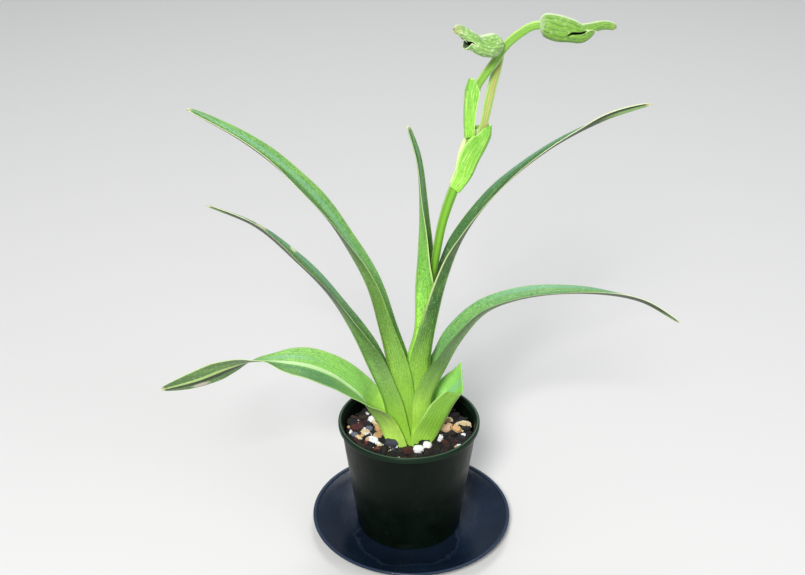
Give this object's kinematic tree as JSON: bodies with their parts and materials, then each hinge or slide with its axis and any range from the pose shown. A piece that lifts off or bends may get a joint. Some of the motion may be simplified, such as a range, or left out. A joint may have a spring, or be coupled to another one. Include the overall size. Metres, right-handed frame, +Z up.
{
  "type": "potted phragmipedium orchid",
  "caption": "Slipper orchid in bud: a fan of arching strap leaves and one upright flower stem in a round tapered nursery pot of bark mix, standing on a round saucer.",
  "frame": {"origin": "centre of the saucer's flat underside, on the surface it stands on", "axes": "+Z up, X along the fan of leaves with the flower stem's buds towards +X, -Y towards the viewer of the picture"},
  "size_m": [0.3691, 0.152, 0.4003],
  "materials": {
    "saucer_plastic": "glossy slate blue plastic with fine scuffs",
    "pot_plastic": "thin dark green plastic, soft gloss",
    "potting_mix": "dark bark chips with pale stone, charcoal and ochre pieces",
    "leaf": "smooth waxy green leaf, yellow-green at the base, pale margins",
    "stem": "smooth green stem",
    "bract": "bright lime bract with fine veins",
    "ovary": "finely downy, ribbed, green to ochre pink",
    "bud": "downy pale green sepals with veins"
  },
  "bodies": {
    "root": {"saucer": "saucer_plastic", "pot": "pot_plastic", "potting_mix": "potting_mix", "leaf_center": "leaf", "leaf_upper_right": "leaf", "leaf_upper_left": "leaf", "leaf_mid_right": "leaf", "leaf_mid_left": "leaf", "leaf_cut_stub": "leaf", "leaf_lower_left": "leaf", "flower_stem": "stem", "bract_lower": "bract", "bract_upper": "bract", "ovary_left": "ovary", "ovary_right": "ovary", "dorsal_sepal_left": "bud", "synsepal_left": "bud", "dorsal_sepal_right": "bud", "synsepal_right": "bud"}
  },
  "joints": []
}
